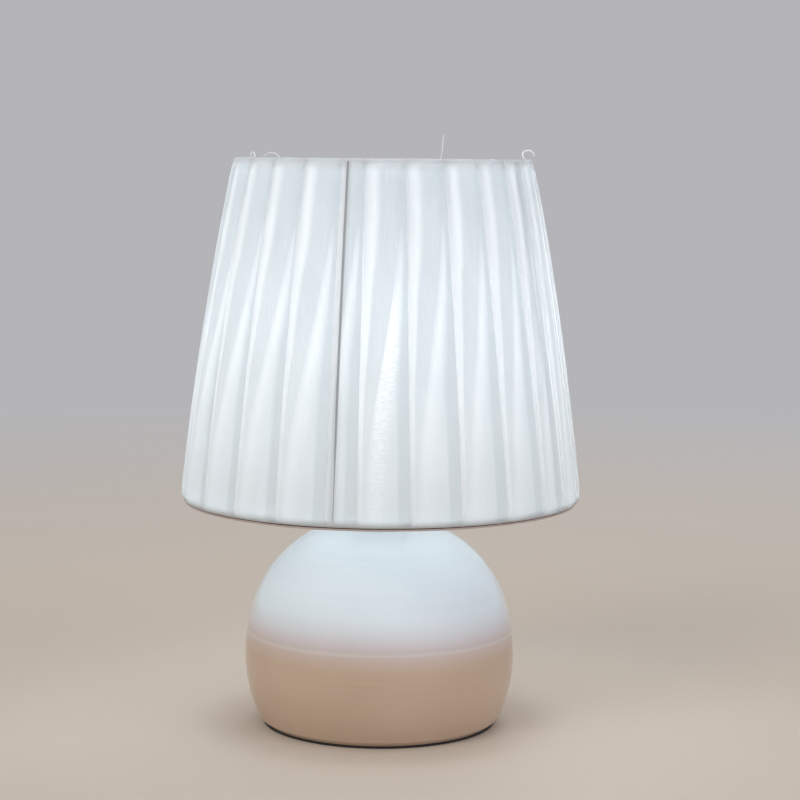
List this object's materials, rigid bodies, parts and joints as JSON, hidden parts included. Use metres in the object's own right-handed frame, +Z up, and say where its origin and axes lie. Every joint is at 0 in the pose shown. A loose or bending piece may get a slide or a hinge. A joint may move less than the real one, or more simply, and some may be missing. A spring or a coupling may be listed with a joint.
{
  "type": "table lamp",
  "caption": "Small table lamp with a glossy ceramic dome base, a lampholder with bulb, and a tapered shade of pleated cloth.",
  "frame": {"origin": "centre of the foot, on the surface the lamp stands on", "axes": "+Z up along the lamp's axis, front faces -Y, cable outlet at the back on +Y"},
  "size_m": [0.2, 0.2, 0.28],
  "materials": {
    "ceramic": "glossy white glaze",
    "fibreboard": "plain",
    "foam": "matt foam",
    "rubber": "smooth",
    "zinc_steel": "zinc plated",
    "fibre": "red fibre",
    "holder_plastic": "satin moulded",
    "insert_plastic": "moulded",
    "brass": "plain",
    "cap_metal": "rolled thread",
    "bulb_plastic": "glossy",
    "globe_plastic": "frosted translucent",
    "board": "white coated board",
    "led": "phosphor",
    "card": "circuit board",
    "frame_wire": "white powder coat",
    "liner": "translucent sheet",
    "cloth": "sheer woven, pleated",
    "hem": "turned cloth edge",
    "insulator": "black"
  },
  "bodies": {
    "base": {"ceramic_body": "ceramic", "bottom_plate": "fibreboard", "foot_pad": "foam", "cable_grommet": "rubber", "nipple": "zinc_steel", "neck_gasket": "rubber", "neck_cap": "zinc_steel", "fibre_washer": "fibre", "clamp_washer": "zinc_steel", "hex_nut": "zinc_steel", "holder_cap": "holder_plastic", "lock_screw": "zinc_steel", "holder_sleeve": "holder_plastic", "holder_insert": "insert_plastic", "screw_shell": "brass", "centre_contact": "brass", "terminal_screws": "zinc_steel"},
    "lower_ring": {"lower_shade_ring": "holder_plastic"},
    "upper_ring": {"upper_shade_ring": "holder_plastic"},
    "bulb": {"bulb_cap": "cap_metal", "bulb_insulator": "insulator", "bulb_contact": "cap_metal", "bulb_housing": "bulb_plastic", "bulb_globe": "globe_plastic", "led_board": "board", "led_chips": "led", "led_driver": "card"},
    "shade": {"fitter_ring": "frame_wire", "spider_arm_1": "frame_wire", "spider_arm_2": "frame_wire", "spider_arm_3": "frame_wire", "bottom_ring": "frame_wire", "top_ring": "frame_wire", "upright_1": "frame_wire", "upright_2": "frame_wire", "upright_3": "frame_wire", "upright_4": "frame_wire", "upright_5": "frame_wire", "shade_liner": "liner", "pleated_panel_1": "cloth", "pleated_panel_2": "cloth", "pleated_panel_3": "cloth", "pleated_panel_4": "cloth", "pleated_panel_5": "cloth", "top_hem": "hem", "bottom_hem": "hem"}
  },
  "joints": [
    {"name": "shade_swivel", "type": "hinge", "parent": "base", "child": "shade", "pos_m": [0, 0, 0.13475], "axis": [0, 0, 1], "continuous": true},
    {"name": "lower_ring_turn", "type": "hinge", "parent": "base", "child": "lower_ring", "pos_m": [0, 0, 0.131], "axis": [0, 0, 1], "continuous": true},
    {"name": "upper_ring_turn", "type": "hinge", "parent": "base", "child": "upper_ring", "pos_m": [0, 0, 0.1385], "axis": [0, 0, 1], "continuous": true},
    {"name": "bulb_lift", "type": "slide", "parent": "base", "child": "bulb", "axis": [0, 0, 1], "range_m": [0, 0.155]}
  ]
}
